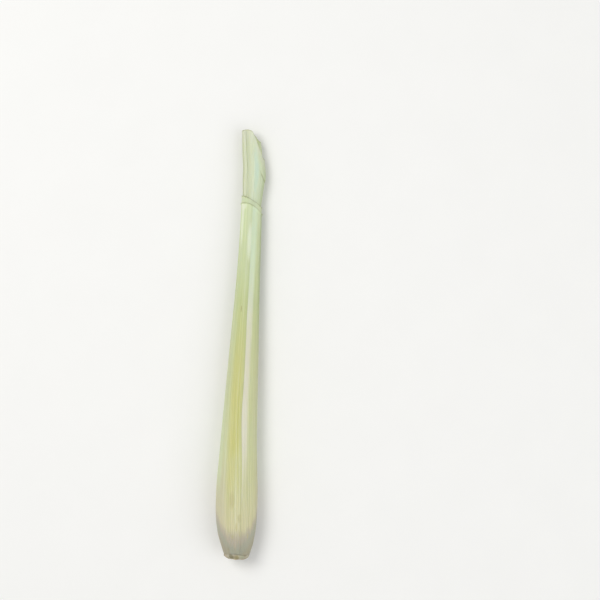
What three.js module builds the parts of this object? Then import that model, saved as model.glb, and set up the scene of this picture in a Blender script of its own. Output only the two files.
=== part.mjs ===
// A trimmed lemongrass stalk lying on its side, in millimetres, +Z up.
// The swollen bulb points to -X and the green cut end to +X.
// Three leaf sheaths and a rolled young leaf grow one inside another from a
// short woody stem. Each sheath is an open roll whose margins overlap.
//
// Lengths along the stalk are "stations": 0 at the root cut, LENGTH at the tip.
// Angles round the stalk start at the top and grow towards -Y.

import * as THREE from "three";

// Driving dimensions.
const LENGTH = 220;
const FLATTENING = 0.92;
const WALL_GAP = 0.42;
const MARGIN_THICKNESS = 0.6;
const MARGIN_GAP = 0.2;
const OVERLAP = degrees(36);
const MARGIN_TAPER = degrees(65);
const FLAP_RISE = degrees(70);
const BULGE_OUTWARD = 0.5;
const RIB_HEIGHT = 0.24;
const DRIFT_END = 90;
const DRIFT_LENGTH = 55;
const LEDGE_GAP = 0.3;
const SEAM_STEP = 0.35;
const SEAM_TURN = degrees(8);
const COLLAR_HEIGHT = 0.3;
const COLLAR_WIDTH = 1.8;
const COLLAR_DROP = 0.25;
const COLLAR_FADE = degrees(20);
const SCAR_COUNT = 9;
const SCAR_HEIGHT = 0.3;
const PITH_DEPTH = 0.35;
const PITH_SHARE = 0.55;
const RIM_SHARE = 0.68;

// Half the stalk's width, measured over all the sheaths as if none ended early.
const halfWidth = curveThrough([
  [0, 5.5],
  [1.5, 6.2],
  [5, 7.4],
  [9, 8.65],
  [14.5, 9.8],
  [20, 10.45],
  [28, 10.7],
  [36, 10.6],
  [45, 10.1],
  [57, 9.4],
  [100, 7.65],
  [162, 5.45],
  [175, 5.35],
  [187, 6.2],
  [197, 6.9],
  [207, 6.75],
  [LENGTH, 6],
]);

// Thickness of a sheath away from its margins.
const wallThickness = curveThrough([
  [0, 0.9],
  [8, 1.25],
  [22, 1.6],
  [50, 1.4],
  [100, 1.0],
  [165, 0.65],
  [190, 0.7],
  [LENGTH, 0.8],
]);

// The stalk's middle line: a slight sideways bow, and a straight fall to the tip.
const sidewaysBow = curveThrough([
  [0, -1.35],
  [5, -1.2],
  [14, -0.6],
  [30, -0.05],
  [50, 0.15],
  [100, -0.45],
  [160, -1.25],
  [178, -1.35],
  [188, -1.55],
  [198, -1.8],
  [209, -0.75],
  [LENGTH, 0.6],
]);
const HEIGHT_AT_ROOT = 10.1;
const HEIGHT_FALL = 0.024;

// How rows of points spread along a leaf: closer together at the bulb and the tip.
const rowSpread = curveThrough([
  [0, 0],
  [0.06, 0.012],
  [0.36, 0.23],
  [0.56, 0.76],
  [0.95, 0.985],
  [1, 1],
]);

// The leaves from the outside in. A leaf starts at its node on the stem.
// hand is +1 where the leaf runs from its free edge towards -Y, and -1 the other way.
// drift is how far a free edge winds round the stalk as it nears the bulb.
// The outer leaf's collar, where its blade was, lies a little before its end. The
// leaves inside it were cut together, aslant, so they end sooner on the -Y side.
const OUTER = {
  level: 1,
  start: 2.5,
  freeEdge: degrees(7),
  drift: degrees(9.5),
  hand: 1,
  end: (angle) => 184.1 - 2.9 * Math.sin(angle) - 0.9 * Math.sin(angle) ** 2,
  collarToEnd: (angle) => 2.8 - 0.3 * Math.sin(angle) + 0.9 * Math.sin(angle) ** 2,
};
const SECOND = {
  level: 2,
  start: 7,
  freeEdge: degrees(-39),
  drift: 0,
  hand: -1,
  end: (angle) => {
    const slant = 2 * (Math.sin(angle) + 0.5) ** 2;
    return LENGTH - slant - 10.4 * smoothStep((Math.sin(angle) - 0.05) / 0.95);
  },
};
const THIRD = {
  level: 3,
  start: 12,
  freeEdge: degrees(150),
  drift: 0,
  hand: 1,
  end: (angle) => 219.2 - 5 * smoothStep((Math.sin(angle) + 0.1) / 1.1),
};
const HEART = {
  level: 4,
  start: 17,
  freeEdge: degrees(20),
  end: (angle) => 218.9 - 3.2 * smoothStep((Math.sin(angle) + 0.3) / 1.3),
};
const SHEATHS = [OUTER, SECOND, THIRD];

function degrees(value) {
  return (value * Math.PI) / 180;
}

function smoothStep(value) {
  const t = Math.min(Math.max(value, 0), 1);
  return t * t * (3 - 2 * t);
}

// A smooth curve through [station, value] points that never overshoots them.
function curveThrough(points) {
  const slopes = points.slice(1).map((p, i) => (p[1] - points[i][1]) / (p[0] - points[i][0]));
  const tangents = points.map((_, i) => {
    const before = slopes[Math.max(i - 1, 0)];
    const after = slopes[Math.min(i, slopes.length - 1)];
    return before * after <= 0 ? 0 : (2 * before * after) / (before + after);
  });
  return (station) => {
    const last = points.length - 2;
    const i = Math.max(points.findIndex((p, n) => n === last || station < points[n + 1][0]), 0);
    const step = points[i + 1][0] - points[i][0];
    const t = Math.min(Math.max((station - points[i][0]) / step, 0), 1);
    const ease = t * t * (3 - 2 * t);
    const leave = t * (1 - t) * (1 - t) * step * tangents[i];
    const arrive = t * t * (t - 1) * step * tangents[i + 1];
    return points[i][1] + (points[i + 1][1] - points[i][1]) * ease + leave + arrive;
  };
}

// Places a point of the stalk. Nothing reaches below the surface that it lies on.
function place(station, angle, radius) {
  const y = sidewaysBow(station) - radius * Math.sin(angle);
  const height = HEIGHT_AT_ROOT - HEIGHT_FALL * station;
  const z = height + FLATTENING * radius * Math.cos(angle);
  return new THREE.Vector3(station - LENGTH / 2, y, Math.max(z, 0));
}

// The angle of a leaf's free edge at a station.
function edgeAngle(leaf, station) {
  return leaf.freeEdge + leaf.drift * smoothStep((DRIFT_END - station) / DRIFT_LENGTH);
}

// How far round from a leaf's free edge an angle is, from 0 up to a full turn.
function turnFrom(leaf, angle, station) {
  const turn = (leaf.hand * (angle - edgeAngle(leaf, station))) % (2 * Math.PI);
  return turn < 0 ? turn + 2 * Math.PI : turn;
}

// Sheath thickness at a turn from the free edge: thin at both margins.
function thicknessAt(turn, station) {
  const fromMargin = Math.max(Math.min(turn, 2 * Math.PI - turn), 0);
  const body = wallThickness(station) - MARGIN_THICKNESS;
  return MARGIN_THICKNESS + body * smoothStep(fromMargin / MARGIN_TAPER);
}

// The flap rides over the inner margin and comes down after it.
function flapLift(turn) {
  const fallen = smoothStep((turn - OVERLAP) / FLAP_RISE);
  return (MARGIN_THICKNESS + MARGIN_GAP) * (1 - fallen);
}

// How much thicker than its wall a sheath is round its overlapping margins.
function bulge(leaf, angle, station) {
  const turn = turnFrom(leaf, angle, station);
  const beforeEdge = smoothStep(1 - (2 * Math.PI - turn) / MARGIN_TAPER);
  const lift = flapLift(turn) + (MARGIN_THICKNESS + MARGIN_GAP) * beforeEdge;
  return lift + thicknessAt(turn, station) - wallThickness(station);
}

// The nominal outer radius of a level of the nest: 1 is the outer sheath.
function levelRadius(level, station) {
  return halfWidth(station) - (level - 1) * (wallThickness(station) + WALL_GAP);
}

// How far bulges move the inner face of a level: the sheaths inside it push it
// out, and it and the sheaths outside it press it in.
function bulgeShift(level, angle, station) {
  return SHEATHS.reduce((sum, sheath) => {
    const share = sheath.level > level ? BULGE_OUTWARD : BULGE_OUTWARD - 1;
    return sum + share * bulge(sheath, angle, station);
  }, 0);
}

// Radius of a sheath's inner face at a turn from its free edge.
function innerFace(leaf, turn, station) {
  const angle = edgeAngle(leaf, station) + leaf.hand * turn;
  const bed = levelRadius(leaf.level, station) - wallThickness(station);
  return bed + bulgeShift(leaf.level, angle, station) + flapLift(turn);
}

function stationOn(leaf, angle, fraction) {
  return leaf.start + (leaf.end(angle) - leaf.start) * rowSpread(fraction);
}

// The stations of a leaf's rows of points. On a leaf with a collar the last rows
// are the collar's foot, its crest, the drop past it, and the leaf's end.
function rowStations(leaf, angle, rows) {
  const evenRows = leaf.collarToEnd ? rows - 3 : rows;
  const stations = Array.from({ length: evenRows + 1 }, (_, row) => {
    return stationOn(leaf, angle, row / evenRows);
  });
  if (!leaf.collarToEnd) return stations;
  const end = leaf.end(angle);
  const crest = end - leaf.collarToEnd(angle);
  const reach = (crest - COLLAR_WIDTH - leaf.start) / (end - leaf.start);
  const squeezed = stations.map((station) => leaf.start + (station - leaf.start) * reach);
  return [...squeezed, crest, crest + COLLAR_DROP, end];
}

// Height of the collar: it swells up to its crest, and is gone past it.
function collarAt(leaf, turn, station) {
  if (!leaf.collarToEnd) return 0;
  const angle = leaf.freeEdge + leaf.hand * turn;
  const past = station - leaf.end(angle) + leaf.collarToEnd(angle);
  if (past > COLLAR_DROP / 2) return 0;
  const uncovered = smoothStep((2 * Math.PI - turn) / COLLAR_FADE);
  return COLLAR_HEIGHT * smoothStep(1 + past / COLLAR_WIDTH) * uncovered;
}

function meshOf(name, points, triangles, look) {
  const geometry = new THREE.BufferGeometry().setFromPoints(points);
  geometry.setIndex(triangles);
  geometry.computeVertexNormals();
  const mesh = new THREE.Mesh(geometry, new THREE.MeshStandardMaterial(look));
  mesh.name = name;
  return mesh;
}

// Two triangles for each cell between two rows of point numbers.
function strip(rowA, rowB) {
  return rowA.slice(1).flatMap((_, i) => [
    [rowA[i], rowA[i + 1], rowB[i + 1]],
    [rowA[i], rowB[i + 1], rowB[i]],
  ]);
}

function flipped(triangles) {
  return triangles.map(([a, b, c]) => [a, c, b]);
}

// Fine ribs along a sheath's outer face. Its free edge and the margin under the
// flap are smooth.
function ribAt(turn, column) {
  const smooth = column === 0 || turn > 2 * Math.PI - degrees(1);
  return smooth ? 0 : (column % 2 ? -0.5 : 0.5) * RIB_HEIGHT;
}

// A grid of points over one face of a sheath, row by row from its foot to its end.
function facePoints(leaf, turns, rows, outwardAt) {
  const columns = Array.from({ length: turns + 1 }, (_, column) => {
    const turn = ((2 * Math.PI + OVERLAP) * column) / turns;
    const angleAtEnd = leaf.freeEdge + leaf.hand * turn;
    return rowStations(leaf, angleAtEnd, rows).map((station) => {
      const radius = innerFace(leaf, turn, station) + outwardAt(turn, station, column);
      return place(station, edgeAngle(leaf, station) + leaf.hand * turn, radius);
    });
  });
  return columns[0].map((_, row) => columns.map((column) => column[row]));
}

// Numbers the points of a face from a first number up, in the face's own grid.
function numbered(face, first) {
  return face.map((row, n) => row.map((_, i) => first + n * row.length + i));
}

// A ribbed open roll: an outer and an inner face, joined round their border.
function sheathMesh(name, leaf, turns, rows, look) {
  const outerPoints = facePoints(leaf, turns, rows, (turn, station, column) => {
    return thicknessAt(turn, station) + ribAt(turn, column) + collarAt(leaf, turn, station);
  });
  const innerPoints = facePoints(leaf, turns, rows, () => 0);
  const points = [...outerPoints, ...innerPoints].flat();
  const outer = numbered(outerPoints, 0);
  const inner = numbered(innerPoints, points.length / 2);
  const edge = (face, column) => face.map((row) => row[column]);
  const skin = outer.slice(1).flatMap((next, n) => [
    ...strip(outer[n], next),
    ...flipped(strip(inner[n], inner[n + 1])),
  ]);
  skin.push(...strip(inner[0], outer[0]), ...strip(outer[rows], inner[rows]));
  skin.push(...strip(edge(outer, 0), edge(inner, 0)));
  skin.push(...strip(edge(inner, turns), edge(outer, turns)));
  return meshOf(name, points, (leaf.hand > 0 ? skin : flipped(skin)).flat(), look);
}

// A solid made of closed rings of points, capped at both ends.
function ringSolid(name, rings, look) {
  const points = rings.flat();
  const sides = rings[0].length;
  const row = (n) => Array.from({ length: sides + 1 }, (_, i) => n * sides + (i % sides));
  const triangles = rings.slice(1).flatMap((_, n) => strip(row(n), row(n + 1)));
  const cap = (n) => {
    const middle = new THREE.Vector3();
    rings[n].forEach((point) => middle.add(point));
    points.push(middle.divideScalar(sides));
    const hub = points.length - 1;
    return row(n).slice(1).map((next, i) => [hub, next, row(n)[i]]);
  };
  triangles.push(...cap(0), ...flipped(cap(rings.length - 1)));
  return meshOf(name, points, triangles.flat(), look);
}

// A ring of the stem at a level of the nest, with its radius cut to a share.
function stemRing(sides, level, station, share, scarHeight) {
  return Array.from({ length: sides }, (_, i) => {
    const angle = (2 * Math.PI * i) / sides;
    const surface = levelRadius(level, station) + bulgeShift(level - 1, angle, station);
    const scar = scarHeight * Math.cos(SCAR_COUNT * angle);
    return place(station, angle, share * surface + scar);
  });
}

// The woody stem: a cut with a sunken pith and a scarred stub round it, then one
// narrower step for each leaf's node.
function stemBase(sides, look) {
  const rings = [
    stemRing(sides, 1, PITH_DEPTH, PITH_SHARE, 0),
    stemRing(sides, 1, 0, RIM_SHARE, 0),
  ];
  let from = 0;
  for (const node of [OUTER, SECOND, THIRD, HEART]) {
    const to = node.start - LEDGE_GAP;
    for (const part of [0, 1 / 3, 2 / 3, 1]) {
      const isScarred = node === OUTER && part === 1 / 3;
      const station = from + (to - from) * part;
      rings.push(stemRing(sides, node.level, station, 1, isScarred ? SCAR_HEIGHT : 0));
    }
    from = to;
  }
  return ringSolid("stem_base", rings, look);
}

// The youngest leaf, rolled tight: a solid roll with one seam down its side.
function heartRoll(sides, rows, look) {
  const rings = Array.from({ length: rows + 1 }, (_, row) =>
    Array.from({ length: sides }, (_, i) => {
      const part = i / (sides - 1);
      const angle = HEART.freeEdge - (2 * Math.PI - SEAM_TURN) * part;
      const station = stationOn(HEART, angle, row / rows);
      const bed = levelRadius(HEART.level, station) + bulgeShift(HEART.level, angle, station);
      return place(station, angle, bed - SEAM_STEP * part);
    }),
  );
  // The roll runs from its seam against the way ringSolid winds, so it starts at its tip.
  return ringSolid("heart_roll", rings.reverse(), look);
}

const LOOKS = {
  stem: { color: 0xc9bfa4, roughness: 0.85, metalness: 0 },
  outer: { color: 0xd3d2a6, roughness: 0.55, metalness: 0 },
  second: { color: 0xc6d2a4, roughness: 0.5, metalness: 0 },
  third: { color: 0xcfdba8, roughness: 0.5, metalness: 0 },
  heart: { color: 0xdfe5b8, roughness: 0.5, metalness: 0 },
};

const stalk = new THREE.Group();
stalk.add(
  stemBase(36, LOOKS.stem),
  sheathMesh("sheath_outer", OUTER, 60, 27, LOOKS.outer),
  sheathMesh("sheath_second", SECOND, 38, 30, LOOKS.second),
  sheathMesh("sheath_third", THIRD, 26, 22, LOOKS.third),
  heartRoll(20, 22, LOOKS.heart),
);

export default stalk;
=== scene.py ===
"""The looks of a trimmed lemongrass stalk that lies on its side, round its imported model.

The bulb points to -X and the green cut end to +X. The shape formulas work in millimetres, along
"stations" from the root cut, and round angles from the top towards -Y. Pieces are made in metres.
"""

import math
import random
from dataclasses import dataclass
from typing import Callable

import bpy
import numpy as np
from mathutils import Matrix, Vector


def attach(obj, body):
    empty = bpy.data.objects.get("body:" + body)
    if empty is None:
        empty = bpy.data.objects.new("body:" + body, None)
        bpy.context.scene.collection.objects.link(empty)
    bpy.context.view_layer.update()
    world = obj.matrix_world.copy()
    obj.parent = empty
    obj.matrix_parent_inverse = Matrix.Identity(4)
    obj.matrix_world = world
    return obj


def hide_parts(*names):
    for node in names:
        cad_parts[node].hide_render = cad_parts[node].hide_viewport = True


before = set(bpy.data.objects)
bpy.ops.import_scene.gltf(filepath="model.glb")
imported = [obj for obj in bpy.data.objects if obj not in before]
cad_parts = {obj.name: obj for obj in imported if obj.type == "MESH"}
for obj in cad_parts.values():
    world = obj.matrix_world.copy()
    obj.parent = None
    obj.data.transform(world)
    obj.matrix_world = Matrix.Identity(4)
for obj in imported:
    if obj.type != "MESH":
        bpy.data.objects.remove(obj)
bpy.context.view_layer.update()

MM = 0.001
TURN = 2 * math.pi
SEED = 41

# ---------------------------------------------------------------- driving dimensions, in mm

LENGTH = 220
FLATTENING = 0.92
HEIGHT_AT_ROOT = 10.1
HEIGHT_FALL = 0.024

# The nest: the gap between one sheath's wall and the next, and how a sheath's two margins thin
# out and pass over each other. A sheath bulges half outwards and half inwards round them.
WALL_GAP = 0.42
MARGIN_THICKNESS = 0.3
MARGIN_GAP = 0.05
OVERLAP = math.radians(36)
MARGIN_TAPER = math.radians(65)
FLAP_RISE = math.radians(70)
BULGE_OUTWARD = 0.5
HUG_LENGTH = 12
LEAST_THICKNESS = 0.14

# The outer sheath's free edge winds round over DRIFT_LENGTH, from DRIFT_END down to the bulb.
DRIFT_END = 90
DRIFT_LENGTH = 55

# The veins, the folds and the dents of a leaf, and how far a free margin wanders, in radians.
VEIN_HEIGHT = 0.08
FOLD_HEIGHT = 0.08
DENT_DEPTH = 0.045
MARGIN_WANDER = 0.02

# The outer sheath's swollen collar, and the ligule past it.
COLLAR_HEIGHT = 0.3
COLLAR_WIDTH = 1.8
COLLAR_DROP = 0.25
COLLAR_FADE = math.radians(20)
LIGULE_DEPTH = 0.15
LIGULE_ROWS = 14

# The second leaf's crease: START is the sine of the angle that it starts from.
CREASE_STATION = 205.5
CREASE_SLANT = 12
CREASE_START = 0.45
CREASE_DEPTH = 0.2
CREASE_WIDTH = 0.4
CREASE_SWELLING = 0.25

# The root's cut face and the stub round it.
STEM_COLUMNS = 220
FACE_RINGS = 24
STUB_RINGS = 16
STEP_RINGS = 5
KNOBS = 13

# The heart's roll: its spiral edge and the windings on its cut end.
HEART_COLUMNS = 160
HEART_ROWS = 90
HEART_FACE_RINGS = 26
HEART_EDGE = 0.35
HEART_EDGE_TURN = math.radians(8)
WINDINGS = 2.2


def bell(value):
    return np.exp(-(value**2))


def smooth_step(value):
    t = np.clip(value, 0, 1)
    return t * t * (3 - 2 * t)


def curve_through(points):
    """A smooth curve through (station, value) points that never overshoots them."""
    xs, ys = np.array(points, float).T
    slopes = np.diff(ys) / np.diff(xs)
    before = np.append(slopes[:1], slopes)
    after = np.append(slopes, slopes[-1:])
    same_way = before * after > 0
    total = np.where(same_way, before + after, 1)
    tangents = np.where(same_way, 2 * before * after / total, 0)

    def value(station):
        i = np.clip(np.searchsorted(xs, station, side="right") - 1, 0, len(xs) - 2)
        step = xs[i + 1] - xs[i]
        t = np.clip((station - xs[i]) / step, 0, 1)
        bend = t * (1 - t) ** 2 * tangents[i] + t * t * (t - 1) * tangents[i + 1]
        return ys[i] + (ys[i + 1] - ys[i]) * smooth_step(t) + step * bend

    return value


# Half the stalk's width, over all the sheaths as if none ended early.
half_width = curve_through([
    (0, 5.5), (1.5, 6.2), (5, 7.4), (9, 8.65), (14.5, 9.8), (20, 10.45), (28, 10.7), (36, 10.6),
    (45, 10.1), (57, 9.4), (100, 7.65), (162, 5.45), (175, 5.35), (187, 6.2), (197, 6.9),
    (207, 6.75), (LENGTH, 6),
])
wall_thickness = curve_through([
    (0, 0.9), (8, 1.25), (22, 1.6), (50, 1.4), (100, 1.0), (165, 0.65), (190, 0.7), (LENGTH, 0.8),
])
# How far the stalk's axis lies towards +Y.
sideways_bow = curve_through([
    (0, -1.35), (5, -1.2), (14, -0.6), (30, -0.05), (50, 0.15), (100, -0.45), (160, -1.25),
    (178, -1.35), (188, -1.55), (198, -1.8), (209, -0.75), (LENGTH, 0.6),
])
# A leaf's share of length at each share of its rows, which crowd at its foot and its end.
row_spread = curve_through([
    (0, 0), (0.1, 0.02), (0.22, 0.09), (0.7, 0.83), (0.88, 0.98), (1, 1),
])


class Ripple:
    """A smooth random field over (around, along), made of a few waves.

    The waves go round a whole number of times, so that the field meets itself.
    """

    def __init__(self, rng, waves, around, along):
        self.waves = [
            (round(rng.uniform(-around, around)), rng.uniform(-along, along), rng.uniform(0, TURN))
            for _ in range(waves)
        ]

    def __call__(self, turn, station):
        total = sum(np.cos(a * turn + s * station + phase) for a, s, phase in self.waves)
        return total / math.sqrt(len(self.waves))


# ---------------------------------------------------------------- the leaves


@dataclass
class Leaf:
    """A leaf of the nest, counted by level from the outside in.

    hand is +1 where it runs from its free edge towards -Y. end gives the station of its end at
    an angle, and collar how far before that its blade once stood. hug moves its end out or, if
    negative, in. fray is the depth of its ragged end. drift is how far its free edge winds round
    as it nears the bulb.
    """

    level: int
    start: float
    free_edge: float
    hand: int
    end: Callable
    hug: float
    veins: int = 0
    columns: int = 0
    rows: int = 0
    fray: float = 0
    collar: Callable = None
    drift: float = 0

    def edge_angle(self, station):
        return self.free_edge + self.drift * smooth_step((DRIFT_END - station) / DRIFT_LENGTH)

    def angle_at(self, turn, station):
        return self.edge_angle(station) + self.hand * turn


def side_drop(angle, depth, start):
    """How far a slanting cut falls on the -Y side, from where the angle's sine is start."""
    return depth * smooth_step((np.sin(angle) - start) / (1 - start))


OUTER = Leaf(
    level=1, start=2.5, free_edge=math.radians(7), hand=1, hug=-0.3, veins=62,
    columns=372, rows=106, fray=0.25,
    end=lambda angle: 184.1 - 2.9 * np.sin(angle) - 0.9 * np.sin(angle) ** 2,
    collar=lambda angle: 2.8 - 0.3 * np.sin(angle) + 0.9 * np.sin(angle) ** 2,
    drift=math.radians(9.5),
)
SECOND = Leaf(
    level=2, start=7, free_edge=math.radians(-39), hand=-1, hug=0.0, veins=44,
    columns=264, rows=120, fray=0.14,
    end=lambda angle: LENGTH - 2 * (np.sin(angle) + 0.5) ** 2 - side_drop(angle, 10.4, 0.05),
)
THIRD = Leaf(
    level=3, start=12, free_edge=math.radians(150), hand=1, hug=0.3, veins=30,
    columns=180, rows=80, fray=0.12,
    end=lambda angle: 219.2 - side_drop(angle, 5, -0.1),
)
HEART = Leaf(
    level=4, start=17, free_edge=math.radians(20), hand=-1, hug=0.6,
    end=lambda angle: 218.9 - side_drop(angle, 3.2, -0.3),
)
SHEATHS = (OUTER, SECOND, THIRD)


def place(station, angle, radius):
    """Points of the stalk in mm. Nothing reaches below the surface that it lies on."""
    station, angle, radius = np.broadcast_arrays(station, angle, radius)
    y = sideways_bow(station) - radius * np.sin(angle)
    height = HEIGHT_AT_ROOT - HEIGHT_FALL * station
    z = height + FLATTENING * radius * np.cos(angle)
    return np.stack([station - LENGTH / 2, y, np.maximum(z, 0)], axis=-1)


def thickness_at(turn, station):
    """A sheath's thickness, from full in its middle to thin at both margins."""
    from_margin = np.maximum(np.minimum(turn, TURN - turn), 0)
    body = wall_thickness(station) - MARGIN_THICKNESS
    return MARGIN_THICKNESS + body * smooth_step(from_margin / MARGIN_TAPER)


def flap_lift(turn):
    """How far a sheath's free margin is lifted by the margin that it covers."""
    fallen = smooth_step((turn - OVERLAP) / FLAP_RISE)
    return (MARGIN_THICKNESS + MARGIN_GAP) * (1 - fallen)


def bulge(leaf, angle, station):
    """How much thicker than its wall a sheath is round its overlapping margins."""
    turn = np.mod(leaf.hand * (angle - leaf.edge_angle(station)), TURN)
    before_edge = smooth_step(1 - (TURN - turn) / MARGIN_TAPER)
    lift = flap_lift(turn) + (MARGIN_THICKNESS + MARGIN_GAP) * before_edge
    return lift + thickness_at(turn, station) - wall_thickness(station)


def level_radius(level, station):
    return half_width(station) - (level - 1) * (wall_thickness(station) + WALL_GAP)


def bulge_shift(level, angle, station):
    """How far the bulges of the sheaths outside and inside a level move it."""
    total = 0
    for sheath in SHEATHS:
        share = BULGE_OUTWARD if sheath.level > level else BULGE_OUTWARD - 1
        total = total + share * bulge(sheath, angle, station)
    return total


def inner_face(leaf, turn, angle, station):
    bed = level_radius(leaf.level, station) - wall_thickness(station)
    return bed + bulge_shift(leaf.level, angle, station) + flap_lift(turn)


# ---------------------------------------------------------------- meshes

# Edges that bend by more than this are drawn sharp.
SHARP_ANGLE = math.radians(40)


def new_piece(node, points, faces, attributes, material):
    """Makes a piece from points in mm, which replaces its CAD node and rides on the root."""
    name = "fine_" + node
    mesh = bpy.data.meshes.new(name)
    mesh.from_pydata((points * MM).tolist(), [], faces)
    for key, values in attributes.items():
        layer = mesh.attributes.new(key, "FLOAT", "POINT")
        layer.data.foreach_set("value", np.ascontiguousarray(values, np.float32))
    mesh.polygons.foreach_set("use_smooth", np.ones(len(mesh.polygons), bool))
    mesh.set_sharp_from_angle(angle=SHARP_ANGLE)
    mesh.materials.append(material)
    mesh.update()
    piece = bpy.data.objects.new(name, mesh)
    bpy.context.scene.collection.objects.link(piece)
    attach(piece, "root")
    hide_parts(node)


def strip(row_a, row_b):
    """One quad for each cell between two rows of point numbers."""
    quads = np.stack([row_a[:-1], row_a[1:], row_b[1:], row_b[:-1]], axis=-1)
    return quads.reshape(-1, 4).tolist()


def grid_faces(numbers):
    return [face for a, b in zip(numbers[:-1], numbers[1:]) for face in strip(a, b)]


def shell_faces(rows, columns, flip):
    """Faces of a closed sheet: an outer and an inner grid, joined round their border."""
    count = (rows + 1) * (columns + 1)
    outer = np.arange(count).reshape(rows + 1, columns + 1)
    inner = outer + count
    faces = grid_faces(outer) + [face[::-1] for face in grid_faces(inner)]
    faces += strip(inner[0], outer[0]) + strip(outer[-1], inner[-1])
    faces += strip(outer[:, 0], inner[:, 0]) + strip(inner[:, -1], outer[:, -1])
    return [face[::-1] for face in faces] if flip else faces


def on_both_faces(values):
    return np.tile(values.ravel(), 2)


def foot_line(leaf, turn):
    """Where a leaf grows out of its node: an uneven line round the stem."""
    rng = random.Random(SEED - leaf.level)
    lobes = 0.3 * np.abs(Ripple(rng, 6, 5, 0)(turn, 0))
    return leaf.start - 0.2 + lobes + 0.22 * np.abs(Ripple(rng, 9, 24, 0)(turn, 0))


def row_stations(leaf, angle, foot, end):
    """Stations of the rows of points. Past a collar, rows follow its line to the end."""
    spread = row_spread(np.linspace(0, 1, leaf.rows + 1))[:, None]
    if leaf.collar is None:
        return foot + (end - foot) * spread
    crest = leaf.end(angle) - leaf.collar(angle)
    past = np.linspace(0, 1, LIGULE_ROWS + 1)[1:, None] ** 1.5
    return np.concatenate([foot + (crest - foot) * spread, crest + (end - crest) * past])


def vein_phase(leaf, turn, station, rng):
    """Grows by a full turn from each vein of the leaf to the next; the veins wander a little."""
    crowding = 1.6 * Ripple(rng, 8, 8, 0.002)(turn, station)
    return leaf.veins * turn + crowding + 0.7 * Ripple(rng, 5, 3, 0.03)(turn, station)


def vein_relief(phase, turn, station, rng):
    """Fine ribs along the leaf, of uneven height, over slow folds and dents."""
    strength = 0.55 + 0.45 * Ripple(rng, 8, 14, 0.03)(turn, station)
    folds = Ripple(rng, 6, 7, 0.02)(turn, station)
    dents = Ripple(rng, 7, 4, 0.12)(turn, station)
    veins = VEIN_HEIGHT / 2 * strength * np.cos(phase)
    relief = veins + FOLD_HEIGHT * folds + DENT_DEPTH * dents
    covered = smooth_step((turn - TURN + 0.05) / 0.1) + smooth_step(1 - turn / 0.06)
    return relief * (1 - np.clip(covered, 0, 1))


def past_collar(leaf, angle, station):
    """How far a point is past its leaf's collar, or far below it where there is none."""
    if leaf.collar is None:
        return np.full(station.shape, -LENGTH)
    return leaf.collar(angle) - leaf.end(angle) + station


def collar_relief(leaf, turn, angle, station, rng):
    """The swollen collar and, past its crest, the thin ligule that ends the sheath."""
    past = station - leaf.end(angle) + leaf.collar(angle)
    uneven = 1 + 0.25 * Ripple(rng, 6, 14, 0)(turn, 0)
    swelling = COLLAR_HEIGHT * uneven * smooth_step(1 + past / COLLAR_WIDTH)
    drop = smooth_step(past / COLLAR_DROP)
    uncovered = smooth_step((TURN - turn) / COLLAR_FADE)
    return uncovered * (swelling * (1 - drop) - LIGULE_DEPTH * drop)


def crease_relief(angle, station):
    """A short slanting crease low on the -Y side, where the second leaf's blade stood."""
    past = station - CREASE_STATION + CREASE_SLANT * np.sin(angle)
    swelling = CREASE_SWELLING * smooth_step((past + 0.2) / 0.6) * smooth_step(1 - (past - 1) / 8)
    fade = smooth_step((np.sin(angle) - CREASE_START) / 0.25)
    return fade * (swelling - CREASE_DEPTH * bell(past / CREASE_WIDTH))


def make_sheath(leaf, node, material):
    """A leaf as a closed sheet, rolled round what lies inside it and over its own start."""
    rng = random.Random(SEED + leaf.level)
    turn = np.linspace(0, TURN + OVERLAP, leaf.columns + 1)[None, :]
    end_angle = leaf.free_edge + leaf.hand * turn
    end = leaf.end(end_angle) - leaf.fray * np.abs(Ripple(rng, 12, 60, 0)(turn, 0))
    station = row_stations(leaf, end_angle, foot_line(leaf, turn), end)
    angle = leaf.angle_at(turn, station)
    wander = MARGIN_WANDER * Ripple(rng, 6, 0, 0.3)(0, station) * smooth_step(1 - turn / 0.3)
    to_end = end - station
    hug = leaf.hug * smooth_step(1 - to_end / HUG_LENGTH)
    inner = inner_face(leaf, turn, angle, station) + hug
    phase = vein_phase(leaf, turn, station, rng)
    relief = vein_relief(phase, turn, station, rng)
    if leaf.collar is not None:
        relief = relief + collar_relief(leaf, turn, end_angle, station, rng)
    if leaf is SECOND:
        relief = relief + crease_relief(angle, station)
    outer = inner + np.maximum(thickness_at(turn, station) + relief, LEAST_THICKNESS)
    angle = angle + leaf.hand * wander
    both = [place(station, angle, outer), place(station, angle, inner)]
    points = np.concatenate([grid.reshape(-1, 3) for grid in both])
    around = np.broadcast_to(turn, station.shape)
    attributes = {
        "along": on_both_faces(station),
        "around": on_both_faces(around),
        "phase": on_both_faces(phase),
        "from_edge": on_both_faces(around * outer),
        "to_end": on_both_faces(to_end),
        "past_collar": on_both_faces(past_collar(leaf, end_angle, station)),
        "inside": np.repeat([0.0, 1.0], station.size),
    }
    faces = shell_faces(len(station) - 1, leaf.columns, leaf.hand < 0)
    new_piece(node, points, faces, attributes, material)


def tube_faces(rings, columns):
    """Faces of rings of points from the root up, closed by a middle point at each end."""
    count = rings * columns
    numbers = np.arange(count).reshape(rings, columns)
    loops = np.concatenate([numbers, numbers[:, :1]], axis=1)
    first, last = loops[0].tolist(), loops[-1].tolist()
    faces = grid_faces(loops)
    faces += [(count, a, b) for a, b in zip(first[1:], first[:-1])]
    faces += [(count + 1, a, b) for a, b in zip(last[:-1], last[1:])]
    return [tuple(face[::-1]) for face in faces]


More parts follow.
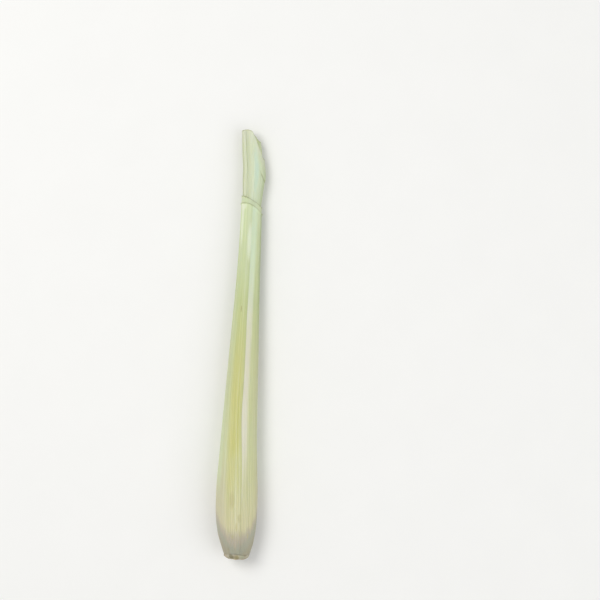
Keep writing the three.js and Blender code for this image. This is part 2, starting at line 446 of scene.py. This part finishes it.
def make_tube(node, rings, cut, angle, material):
    """A solid of (station, radius) rings. cut is 1 on a cut face and fades to its rim."""
    grid = [place(station, angle, radius) for station, radius in rings]
    middles = [grid[0].mean(axis=0), grid[-1].mean(axis=0)]
    points = np.concatenate([np.concatenate(grid), np.array(middles)])
    full = np.ones(angle.size)

    def on_points(rows):
        rows = [row * full for row in rows]
        return np.concatenate([np.concatenate(rows), [rows[0].mean(), rows[-1].mean()]])

    attributes = {
        "along": on_points([station for station, _ in rings]),
        "around": on_points([angle for _ in rings]),
        "radius": on_points([radius for _, radius in rings]),
        "cut": on_points(cut),
        "phase": on_points([20 * angle for _ in rings]),
    }
    faces = tube_faces(len(rings), angle.size)
    new_piece(node, points, faces, attributes, material)


def root_face(angle, radius, rng):
    """Rings of the root's cut face, from its middle out, with the edges of old leaf bases."""
    rough = Ripple(rng, 14, 9, 3.0)
    rings = []
    for share in np.linspace(0.05, 0.97, FACE_RINGS):
        growth = 0.14 * np.cos(share * 3.5 * TURN) ** 6
        sunken = 0.35 * smooth_step((0.62 - share) / 0.1)
        chamfer = 0.3 * smooth_step((share - 0.86) / 0.14)
        station = 0.14 + sunken + chamfer - growth + 0.07 * rough(angle, share * 9)
        rings.append((station, radius * share))
    return rings


def root_stub(angle, surface, ledge, rng):
    """Rings of the root's side, with the knobs of trimmed roots and a crumpled skin."""
    knobs = [(rng.uniform(0, TURN), rng.uniform(0.8, 1.7)) for _ in range(KNOBS)]
    skin = Ripple(rng, 16, 12, 4.0)
    rings = []
    for station in np.linspace(0.48 + 0 * ledge, ledge, STUB_RINGS):
        bumps = 0
        for middle, height in knobs:
            aside = np.abs(np.mod(angle - middle + math.pi, TURN) - math.pi) / 0.12
            bumps = bumps + np.exp(-(aside**2) - ((station - height) / 0.42) ** 2)
        shrink = 0.35 * smooth_step((1.0 - station) / 0.6)
        shape = surface(station) - shrink + 0.3 * bumps + 0.07 * skin(angle, station)
        rings.append((station, shape))
    return rings


def make_stem(material):
    """The short solid stem: it shows as the root stub, and steps in under each leaf."""
    rng = random.Random(SEED)
    angle = np.linspace(math.pi, -math.pi, STEM_COLUMNS, endpoint=False)

    def surface(level, station):
        return level_radius(level, station) + bulge_shift(level - 1, angle, station)

    ledge = foot_line(OUTER, angle - OUTER.edge_angle(0)) - 0.1
    side = root_stub(angle, lambda station: surface(1, station), ledge, rng)
    face = root_face(angle, side[0][1], rng)
    rings = face + side
    cut = list(np.linspace(1, 0.9, len(face))) + list(np.linspace(0.6, 0, len(side)))
    starts = [ledge] + [leaf.start - 0.3 for leaf in (SECOND, THIRD, HEART)]
    for level, (low, high) in enumerate(zip(starts[:-1], starts[1:]), start=2):
        steps = np.linspace(low, high, STEP_RINGS)
        rings += [(station, surface(level, station)) for station in steps]
        cut += [0] * STEP_RINGS
    make_tube("stem_base", rings, cut, angle, material)


def make_heart(material):
    """The innermost leaves, rolled tight: a spiral edge along the side and on the cut end."""
    rng = random.Random(SEED + HEART.level)
    part = np.linspace(0, 1, HEART_COLUMNS)
    angle = HEART.free_edge - (TURN - HEART_EDGE_TURN) * part
    veins = 0.025 * np.cos(30 * angle)

    def radius(station):
        outside = level_radius(HEART.level, station) + bulge_shift(HEART.level, angle, station)
        return outside - HEART_EDGE * part + veins

    end = HEART.end(angle)
    spread = row_spread(np.linspace(0, 1, HEART_ROWS))
    stations = [HEART.start + (end - HEART.start) * share for share in spread]
    rings = [(station, radius(station)) for station in stations]
    cut = [0.0] * HEART_ROWS + [1.0] * HEART_FACE_RINGS
    ragged = 0.08 * Ripple(rng, 9, 14, 0)(angle, 0)
    for share in np.linspace(0.96, 0.08, HEART_FACE_RINGS):
        winding = np.mod(WINDINGS * (1 - share) + part, 1)
        groove = bell(np.minimum(winding, 1 - winding) / 0.13)
        middle = end.mean() + (end - end.mean()) * share
        sunken = 0.55 * groove * (1 - share**8)
        rings.append((middle + ragged * share - sunken, radius(end) * share))
    make_tube("heart_roll", rings, cut, angle, material)


# ---------------------------------------------------------------- the shader maker

SUBSURFACE_RADIUS = (1.0, 0.85, 0.45)
SUBSURFACE_DEPTH = 1.4
COAT_ROUGHNESS = 0.35


def linear(colour):
    """Linear light from an sRGB colour given as 0 to 255."""
    parts = [c / 255 for c in colour]
    return tuple(c / 12.92 if c <= 0.04045 else ((c + 0.055) / 1.055) ** 2.4 for c in parts)


def rgba(colour):
    return (*linear(colour), 1.0)


class Shader:
    """A node material in the making: each method adds a node and returns its output."""

    def __init__(self, name):
        self.material = bpy.data.materials.new(name)
        self.material.use_nodes = True
        self.nodes = self.material.node_tree.nodes
        self.links = self.material.node_tree.links
        self.principled = self.nodes["Principled BSDF"]
        self.attributes = {}

    def put(self, socket, value):
        if isinstance(value, bpy.types.NodeSocket):
            self.links.new(value, socket)
        else:
            socket.default_value = value

    def attribute(self, name):
        if name not in self.attributes:
            node = self.nodes.new("ShaderNodeAttribute")
            node.attribute_name = name
            self.attributes[name] = node.outputs["Fac"]
        return self.attributes[name]

    def math(self, operation, a, b=0.0, clamp=False):
        node = self.nodes.new("ShaderNodeMath")
        node.operation = operation
        node.use_clamp = clamp
        self.put(node.inputs[0], a)
        self.put(node.inputs[1], b)
        return node.outputs[0]

    def plus(self, a, b):
        return self.math("ADD", a, b)

    def minus(self, a, b):
        return self.math("SUBTRACT", a, b)

    def times(self, a, b):
        return self.math("MULTIPLY", a, b)

    def over(self, a, b):
        return self.math("DIVIDE", a, b)

    def fade(self, value, start, stop):
        """0 before start and 1 after stop, smoothly; start may be above stop."""
        node = self.nodes.new("ShaderNodeMapRange")
        node.interpolation_type = "SMOOTHSTEP"
        self.put(node.inputs["Value"], value)
        low, high = (0.0, 1.0) if start < stop else (1.0, 0.0)
        node.inputs["From Min"].default_value = min(start, stop)
        node.inputs["From Max"].default_value = max(start, stop)
        node.inputs["To Min"].default_value = low
        node.inputs["To Max"].default_value = high
        return node.outputs["Result"]

    def stretch(self, start, stop):
        """A fade over a stretch of stations."""
        return self.fade(self.attribute("along"), start, stop)

    def ramp(self, value, stops):
        node = self.nodes.new("ShaderNodeValToRGB")
        elements = node.color_ramp.elements
        while len(elements) < len(stops):
            elements.new(0.5)
        for element, (position, colour) in zip(elements, stops):
            element.position = position
            element.color = rgba(colour)
        self.put(node.inputs["Fac"], value)
        return node.outputs["Color"]

    def mix(self, factor, a, b, blend="MIX"):
        """Blends two colours, each a socket or an sRGB colour."""
        node = self.nodes.new("ShaderNodeMix")
        node.data_type = "RGBA"
        node.blend_type = blend
        self.put(node.inputs[0], factor)
        for socket, colour in ((node.inputs[6], a), (node.inputs[7], b)):
            self.put(socket, rgba(colour) if isinstance(colour, tuple) else colour)
        return node.outputs[2]

    def tint(self, mask, strength, colour, target):
        """Lays a colour over another where the mask is set."""
        return self.mix(self.times(mask, strength), colour, target)

    def vector(self, x, y, z=0.0):
        node = self.nodes.new("ShaderNodeCombineXYZ")
        for socket, value in zip(node.inputs, (x, y, z)):
            self.put(socket, value)
        return node.outputs[0]

    def noise(self, scale, detail=3.0, roughness=0.5, vector=None):
        """Noise in the piece's own metres, unless a vector says otherwise."""
        node = self.nodes.new("ShaderNodeTexNoise")
        if vector is None:
            vector = self.nodes.new("ShaderNodeTexCoord").outputs["Object"]
        self.put(node.inputs["Vector"], vector)
        node.inputs["Scale"].default_value = scale
        node.inputs["Detail"].default_value = detail
        node.inputs["Roughness"].default_value = roughness
        return node.outputs["Fac"]

    def streaks(self, across, lengthwise, detail=5.0):
        """Noise drawn out along the leaf: cells per radian across and per mm lengthwise."""
        turn = self.times(self.attribute("around"), across)
        station = self.times(self.attribute("along"), lengthwise)
        return self.noise(1.0, detail, 0.6, self.vector(turn, station))

    def patch(self, spot, soft=0.35):
        """1 inside an oval spot of (station, turn, length, width), worn by noise, and 0 outside."""
        station, turn, length, width = spot
        up = self.over(self.minus(self.attribute("along"), station), length / 2)
        sideways = self.over(self.minus(self.attribute("around"), turn), width / 2)
        total = self.plus(self.times(up, up), self.times(sideways, sideways))
        total = self.plus(total, self.times(self.noise(1500.0, 2.0), 0.8))
        return self.fade(total, 1.4 + soft, 1.4 - soft)

    def bump(self, height, distance, strength=1.0, before=None):
        """Adds bumps of a height in mm to a normal."""
        node = self.nodes.new("ShaderNodeBump")
        node.inputs["Strength"].default_value = strength
        node.inputs["Distance"].default_value = distance * MM
        self.put(node.inputs["Height"], height)
        if before is not None:
            self.put(node.inputs["Normal"], before)
        return node.outputs["Normal"]

    def finish(self, colour, roughness, normal, subsurface=0.0, coat=0.0):
        sockets = self.principled.inputs
        self.put(sockets["Base Color"], colour)
        self.put(sockets["Roughness"], roughness)
        self.put(sockets["Normal"], normal)
        sockets["Subsurface Weight"].default_value = subsurface
        sockets["Subsurface Radius"].default_value = SUBSURFACE_RADIUS
        sockets["Subsurface Scale"].default_value = SUBSURFACE_DEPTH * MM
        sockets["Coat Weight"].default_value = coat
        sockets["Coat Roughness"].default_value = COAT_ROUGHNESS
        return self.material


# ---------------------------------------------------------------- colours, in sRGB

CREAM = (206, 202, 160)
DRY = (176, 160, 126)
PINK_GREY = (190, 179, 162)
GREY_GREEN = (168, 171, 153)
PINK_WHITE = (231, 226, 206)
MINT = (222, 240, 206)
BROWN = (118, 96, 62)
OLIVE = (140, 146, 92)
WAX = (232, 236, 214)
EDGE_LIGHT = (226, 231, 196)
# Painted shade on the sides of the outer sheath's green part.
SIDE_SHADE_GREEN = (172, 186, 138)
SIDE_PINK = (208, 199, 178)
# A painted highlight along the bulb's +Y limb.
LIMB_HIGHLIGHT_GREEN = (214, 224, 182)
MARGIN_CREAM = (226, 222, 204)
MARGIN_MINT = (228, 242, 206)
FIBRE = (150, 130, 100)
LIGULE = (216, 226, 186)
# The colour of the painted highlights below the outer sheath's collar.
HIGHLIGHT_COLOUR = (244, 252, 222)
BLEMISH = (160, 142, 92)
STAIN = (192, 186, 134)
BLOOM = (206, 228, 208)
PALE_TIP = (228, 229, 208)
THIRD_GREEN = (213, 224, 178)
HEART_GREEN = (214, 221, 166)
HEART_PITH = ((200, 202, 142), (224, 224, 184))
RIND = ((164, 156, 132), (188, 183, 160))
PITH = ((214, 202, 164), (228, 220, 188))
PITH_RING = (168, 142, 98)
BUNDLE = (142, 110, 70)

# What the streaks and the grooves multiply a leaf's colour by.
STREAK_SHADE = (206, 216, 178)
GROOVE_SHADE = (214, 220, 186)

# The outer sheath from root to end by share of LENGTH, and its bulb by share of the way round.
OUTER_ALONG = [
    (0.0, (180, 170, 146)), (0.02, (182, 180, 158)), (0.048, (196, 187, 166)),
    (0.075, (219, 212, 174)), (0.2, (212, 210, 164)), (0.3, (210, 213, 165)),
    (0.45, (208, 215, 160)), (0.6, (208, 218, 164)), (0.72, (218, 228, 182)),
    (0.84, (228, 241, 198)),
]
OUTER_ACROSS = [
    (0.0, (218, 219, 182)), (0.08, (212, 215, 168)), (0.2, (211, 210, 172)),
    (0.5, (213, 211, 166)), (0.64, (211, 211, 180)), (0.7, (215, 219, 184)),
    (0.77, (211, 215, 170)), (0.81, (211, 208, 135)), (0.872, (210, 206, 131)),
    (0.905, (207, 209, 152)),
]
# The second leaf by share of the way round from its free edge; the darker stop at 0.115, on its +Y
# limb, is painted shade.
SECOND_ACROSS = [
    (0.0, (224, 230, 196)), (0.035, (232, 237, 206)), (0.07, (208, 214, 176)),
    (0.115, (186, 194, 154)), (0.38, (200, 211, 165)), (0.58, (200, 212, 168)),
    (0.68, (216, 228, 192)), (0.76, (222, 234, 206)), (0.82, (223, 231, 204)),
    (0.86, (219, 226, 192)), (0.91, (226, 232, 198)),
]

# Spots of (station, turn, length in mm, width in radians).
# The first list of spots is painted highlights on the outer sheath just below its collar.
HIGHLIGHT_MARKS = [(181.5, 5.3, 5.0, 0.75), (174.0, 5.2, 26.0, 0.36), (163.0, 6.14, 18.0, 0.42)]
BLUE_BLOOM = (198.5, 5.36, 20.0, 0.42)
BLEMISHES = [
    (20.0, 6.35, 2.4, 0.07), (27.5, 4.1, 1.6, 0.05), (44.0, 0.95, 3.2, 0.05),
    (71.0, 4.6, 2.2, 0.07), (96.0, 2.4, 5.0, 0.08), (128.0, 5.75, 3.4, 0.06),
    (33.0, 3.3, 4.0, 0.12), (150.0, 1.9, 4.2, 0.1),
]
STAINS = [
    (21.6, 6.2, 4.2, 0.22), (16.8, 6.02, 4.6, 0.1), (11.9, 5.8, 2.2, 0.12), (30.5, 5.78, 8.0, 0.3),
    (12.6, 0.42, 3.0, 0.1), (24.0, 3.0, 9.0, 0.4), (58.0, 2.2, 12.0, 0.4),
]
ROOT_SPOTS = [
    ((1.2, -0.44, 3.4, 0.42), (112, 104, 70)), ((1.0, 0.04, 3.0, 0.36), (150, 140, 94)),
    ((1.3, -1.1, 3.0, 0.5), (192, 180, 156)), ((1.4, 0.5, 3.0, 0.5), (180, 182, 154)),
    ((0.8, 2.3, 2.6, 0.4), (128, 112, 76)),
]

# ---------------------------------------------------------------- materials

# Masks fade over stations and distances in mm, or over noise, cosines and sines.


def streaked(shader, colour):
    """Parallel pale and dark streaks, from veins as fine as hairs to broad bands."""
    fine = shader.streaks(34, 0.02)
    broad = shader.streaks(6, 0.012)
    hairs = shader.streaks(90, 0.05, 2.0)
    shaded = shader.mix(1.0, colour, STREAK_SHADE, "MULTIPLY")
    colour = shader.tint(shader.fade(fine, 0.56, 0.4), 0.38, colour, shaded)
    colour = shader.tint(shader.fade(broad, 0.52, 0.68), 0.28, colour, WAX)
    colour = shader.tint(shader.fade(hairs, 0.58, 0.7), 0.2, colour, WAX)
    return fine, colour


def leaf_finish(shader, fine, colour):
    """Veins and cells in the bump, and a satin finish that is uneven along the streaks."""
    phase = shader.attribute("phase")
    wave = shader.math("COSINE", phase)
    between = shader.math("COSINE", shader.times(phase, 3.0))
    groove = shader.mix(1.0, colour, GROOVE_SHADE, "MULTIPLY")
    colour = shader.tint(shader.fade(wave, 0.3, -0.9), 0.22, colour, groove)
    ridges = shader.plus(wave, shader.times(between, 0.5))
    normal = shader.bump(ridges, 0.05, 0.8)
    normal = shader.bump(shader.streaks(60, 0.5, 3.0), 0.1, 0.6, normal)
    normal = shader.bump(shader.noise(900.0, 2.0), 0.04, 0.5, normal)
    roughness = shader.plus(shader.times(fine, 0.3), 0.27)
    return shader.finish(colour, roughness, normal, subsurface=0.25, coat=0.1)


def cut_edge(shader, colour, width, strength):
    """The olive line of a leaf's cut end."""
    edge = shader.fade(shader.attribute("to_end"), *width)
    return shader.tint(edge, strength, colour, OLIVE)


def facing(shader, aside=0.0):
    """1 where the outer sheath's bulb faces up, or that angle towards -Y of it."""
    turned = OUTER.free_edge + OUTER.drift - aside
    return shader.math("COSINE", shader.plus(shader.attribute("around"), turned))


def outer_ground(shader):
    """Cream to green along the sheath, with a yellow patch on the bulb's upper face."""
    along, around = shader.attribute("along"), shader.attribute("around")
    colour = shader.ramp(shader.over(along, LENGTH), OUTER_ALONG)
    across = shader.ramp(shader.over(around, TURN + OVERLAP), OUTER_ACROSS)
    bulb = shader.times(shader.stretch(16.0, 46.0), shader.stretch(150.0, 80.0))
    yellow = shader.plus(shader.times(shader.stretch(49.0, 57.0), 0.4), 0.5)
    colour = shader.tint(bulb, yellow, colour, across)
    # Painted shade: the green part darkens on its sides, away from its upper face.
    shaded_sides = shader.times(shader.fade(facing(shader), 0.5, 0.05), shader.stretch(90.0, 150.0))
    return shader.tint(shaded_sides, 0.7, colour, SIDE_SHADE_GREEN)


def free_margin(shader, colour):
    """The pale band that follows the free edge, and the thin, dry edge itself."""
    from_edge = shader.attribute("from_edge")
    greening = shader.stretch(110.0, 160.0)
    band = shader.times(shader.fade(from_edge, 3.7, 1.6), shader.stretch(36.0, 62.0))
    colour = shader.tint(band, 0.85, colour, shader.mix(greening, PINK_WHITE, MINT))
    film = shader.times(shader.fade(from_edge, 0.7, 0.1), shader.stretch(18.0, 48.0))
    return shader.tint(film, 0.6, colour, shader.mix(greening, MARGIN_CREAM, MARGIN_MINT))


def bulb_side(shader, colour):
    """The bulb's +Y side: a pinkish band low down, and a pale green painted highlight along its
    limb past it.
    """
    aside = facing(shader, 0.3)
    band = shader.times(shader.fade(aside, 0.75, 0.52), shader.stretch(55.0, 36.0))
    colour = shader.tint(band, 0.4, colour, SIDE_PINK)
    limb_highlight = shader.times(shader.fade(aside, 0.42, 0.22), shader.stretch(30.0, 46.0))
    return shader.tint(shader.times(limb_highlight, shader.stretch(100.0, 70.0)), 0.7, colour, LIMB_HIGHLIGHT_GREEN)


def root_end(shader, colour, fine):
    """The grey base of the bulb, which reaches further up on its sides, and its dry fibres."""
    level = shader.minus(shader.attribute("along"), shader.times(shader.streaks(5, 0.1), 13.0))
    upward = shader.math("MAXIMUM", facing(shader), 0.3)
    level = shader.plus(level, shader.times(upward, 18.0))
    level = shader.minus(level, shader.times(fine, 7.0))
    greener = shader.plus(shader.fade(level, 17.3, 13.3), shader.fade(fine, 0.5, 0.64))
    dry = shader.mix(shader.math("MULTIPLY", greener, 0.8, True), PINK_GREY, GREY_GREEN)
    colour = shader.tint(shader.fade(level, 22.4, 16.2), 0.8, colour, dry)
    colour = shader.tint(shader.fade(level, 10.8, 6.8), 0.35, colour, DRY)
    fibres = shader.fade(shader.streaks(26, 0.06, 3.0), 0.54, 0.64)
    return shader.tint(shader.times(fibres, shader.stretch(13.0, 3.0)), 0.55, colour, FIBRE)


def collar_end(shader, colour):
    """The pale ligule, a dark line of painted shade along the collar's crest, and painted
    highlights below it.
    """
    past = shader.attribute("past_collar")
    colour = shader.tint(shader.fade(past, -0.1, 0.3), 0.75, colour, LIGULE)
    # Painted shade: a dark olive line along the collar's crest, where the sheath steps down to the
    # ligule.
    crease = shader.times(shader.fade(past, -0.45, -0.1), shader.fade(past, 0.5, 0.1))
    colour = shader.tint(crease, 0.42, colour, OLIVE)
    below = shader.fade(past, -0.3, -0.8)
    for mark in HIGHLIGHT_MARKS:
        painted_highlight = shader.times(shader.patch(mark, 0.9), below)
        colour = shader.tint(painted_highlight, 0.75, colour, HIGHLIGHT_COLOUR)
    return cut_edge(shader, colour, (0.5, 0.05), 0.62)


def outer_material():
    shader = Shader("outer_sheath")
    fine, colour = streaked(shader, outer_ground(shader))
    colour = free_margin(shader, colour)
    colour = bulb_side(shader, colour)
    colour = root_end(shader, colour, fine)
    colour = collar_end(shader, colour)
    for spot in BLEMISHES:
        colour = shader.tint(shader.patch(spot), 0.65, colour, BLEMISH)
    for spot in STAINS:
        colour = shader.tint(shader.patch(spot, 0.8), 0.5, colour, STAIN)
    return leaf_finish(shader, fine, colour)


def crease_line(shader, colour):
    """The dark line down the middle of the second leaf's crease."""
    side = shader.math("SINE", shader.minus(SECOND.free_edge, shader.attribute("around")))
    past = shader.plus(shader.attribute("along"), shader.times(side, CREASE_SLANT))
    off_line = shader.math("ABSOLUTE", shader.minus(past, CREASE_STATION - 0.1))
    crease = shader.times(shader.fade(off_line, 0.8, 0.1), shader.fade(side, CREASE_START, 0.75))
    return shader.tint(crease, 0.55, colour, OLIVE)


def second_material():
    shader = Shader("second_sheath")
    around = shader.attribute("around")
    colour = shader.ramp(shader.over(around, TURN + OVERLAP), SECOND_ACROSS)
    colour = shader.tint(shader.stretch(90.0, 30.0), 0.9, colour, CREAM)
    fine, colour = streaked(shader, colour)
    edge = shader.fade(shader.attribute("from_edge"), 0.9, 0.3)
    colour = shader.tint(edge, 0.5, colour, EDGE_LIGHT)
    colour = shader.tint(shader.attribute("inside"), 0.5, colour, WAX)
    colour = shader.tint(shader.patch(BLUE_BLOOM, 0.8), 0.7, colour, BLOOM)
    colour = crease_line(shader, colour)
    tip = shader.fade(shader.attribute("to_end"), 9.0, 1.0)
    colour = shader.tint(tip, 0.5, colour, PALE_TIP)
    return leaf_finish(shader, fine, cut_edge(shader, colour, (0.5, 0.05), 0.7))


def inner_ground(shader, high):
    """Cream that turns green towards the end, with streaks, for the two inner leaves."""
    share = shader.over(shader.attribute("along"), LENGTH)
    return streaked(shader, shader.ramp(share, [(0.3, CREAM), (1.0, high)]))


def third_material():
    shader = Shader("third_sheath")
    fine, colour = inner_ground(shader, THIRD_GREEN)
    return leaf_finish(shader, fine, cut_edge(shader, colour, (0.6, 0.1), 0.5))


def heart_material():
    shader = Shader("heart_roll")
    fine, colour = inner_ground(shader, HEART_GREEN)
    face = shader.mix(shader.fade(shader.noise(2600.0), 0.4, 0.62), *HEART_PITH)
    return leaf_finish(shader, fine, shader.tint(shader.attribute("cut"), 0.8, colour, face))


def stem_material():
    """Pale pith with darker bundles and rings on the cut, and a dry brownish rind."""
    shader = Shader("stem_base")
    cut = shader.attribute("cut")
    mottle = shader.noise(420.0, 4.0)
    rind = shader.mix(shader.fade(mottle, 0.38, 0.62), *RIND)
    pith = shader.mix(shader.fade(mottle, 0.35, 0.7), *PITH)
    rings = shader.math("COSINE", shader.times(shader.attribute("radius"), 4.1))
    pith = shader.tint(shader.fade(rings, 0.4, 0.95), 0.45, pith, PITH_RING)
    bundles = shader.noise(2200.0, 1.0)
    pith = shader.tint(shader.fade(bundles, 0.62, 0.7), 0.6, pith, BUNDLE)
    colour = shader.mix(shader.fade(cut, 0.5, 0.88), rind, pith)
    stain = shader.fade(shader.noise(170.0, 2.0), 0.56, 0.68)
    colour = shader.tint(stain, 0.55, colour, BROWN)
    side = shader.fade(cut, 0.92, 0.6)
    for spot, shade in ROOT_SPOTS:
        stained = shader.times(shader.patch(spot, 0.8), side)
        colour = shader.tint(stained, 0.7, colour, shade)
    fibres = shader.times(shader.streaks(40, 0.6, 4.0), side)
    normal = shader.bump(fibres, 0.2, 0.7)
    normal = shader.bump(bundles, 0.15, 0.7, normal)
    normal = shader.bump(mottle, 0.2, 0.5, normal)
    roughness = shader.plus(shader.times(mottle, 0.3), 0.6)
    return shader.finish(colour, roughness, normal, subsurface=0.15)


# ---------------------------------------------------------------- the stalk


def make_stalk():
    make_stem(stem_material())
    make_sheath(OUTER, "sheath_outer", outer_material())
    make_sheath(SECOND, "sheath_second", second_material())
    make_sheath(THIRD, "sheath_third", third_material())
    make_heart(heart_material())


# ---------------------------------------------------------------- stage, light and camera

# The image is IMAGE_SIZE pixels wide and shows PIXEL mm in each. The root's cut, which is at
# ROOT_POINT in mm, shows at ROOT_PIXEL, and the stalk leans to the right of upright by LEAN.
IMAGE_SIZE = 600
PIXEL = 0.513
ROOT_PIXEL = (234.5, 558.0)
TIP_PIXEL = (253.0, 129.0)
LEAN = math.atan2(TIP_PIXEL[0] - ROOT_PIXEL[0], ROOT_PIXEL[1] - TIP_PIXEL[1])
ROOT_POINT = (-LENGTH / 2, -0.25, 9)
LENS = 100
SENSOR = 36

# The floor reaches FLOOR_REACH metres each way and lies FLOOR_DROP metres below the stalk.
FLOOR_REACH = 3.0
FLOOR_DROP = 0.0001
FLOOR_COLOURS = ((240, 240, 238), (243, 243, 241))
WORLD_LIGHT = 0.54
# Each lamp's place in metres, the side of its square in metres, its watts and its colour.
LAMPS = {
    "key": ((0.35, 0.5, 1.1), 0.6, 7.2, (1.0, 0.99, 0.97)),
    "fill": ((-0.3, -0.75, 0.8), 0.9, 3.0, (0.98, 0.99, 1.0)),
}


def make_camera():
    """Looks straight down on the stalk."""
    right = Vector((math.sin(LEAN), -math.cos(LEAN), 0))
    up = Vector((math.cos(LEAN), math.sin(LEAN), 0))
    back = Vector((0, 0, 1))
    middle = IMAGE_SIZE / 2
    aim = Vector(ROOT_POINT)
    aim += right * (middle - ROOT_PIXEL[0]) * PIXEL + up * (ROOT_PIXEL[1] - middle) * PIXEL
    distance = IMAGE_SIZE * PIXEL * LENS / SENSOR
    data = bpy.data.cameras.new("camera")
    data.lens = LENS
    data.sensor_width = SENSOR
    data.clip_end = 10
    camera = bpy.data.objects.new("camera", data)
    turn = Matrix((right, up, back)).transposed().to_4x4()
    camera.matrix_world = Matrix.Translation((aim + back * distance) * MM) @ turn
    bpy.context.scene.collection.objects.link(camera)
    bpy.context.scene.camera = camera


def make_floor():
    mesh = bpy.data.meshes.new("floor")
    corners = [(-1, -1), (1, -1), (1, 1), (-1, 1)]
    points = [(x * FLOOR_REACH, y * FLOOR_REACH, -FLOOR_DROP) for x, y in corners]
    mesh.from_pydata(points, [], [(0, 1, 2, 3)])
    shader = Shader("floor")
    grain = shader.noise(40.0)
    colour = shader.mix(grain, *FLOOR_COLOURS)
    mesh.materials.append(shader.finish(colour, 0.9, shader.bump(grain, 0.01, 0.1)))
    floor = bpy.data.objects.new("floor", mesh)
    bpy.context.scene.collection.objects.link(floor)


def area_light(name, position, size, power, colour):
    """A square lamp that faces the middle of the stalk."""
    data = bpy.data.lights.new(name, "AREA")
    data.size = size
    data.energy = power
    data.color = colour
    lamp = bpy.data.objects.new(name, data)
    lamp.location = position
    lamp.rotation_euler = (-Vector(position)).to_track_quat("-Z", "Y").to_euler()
    bpy.context.scene.collection.objects.link(lamp)


def make_light():
    world = bpy.data.worlds.new("studio")
    world.use_nodes = True
    background = world.node_tree.nodes["Background"].inputs
    background["Color"].default_value = (1, 1, 1, 1)
    background["Strength"].default_value = WORLD_LIGHT
    bpy.context.scene.world = world
    for name, lamp in LAMPS.items():
        area_light(name, *lamp)
    bpy.context.scene.view_settings.view_transform = "Standard"


make_camera()
make_floor()
make_light()
make_stalk()
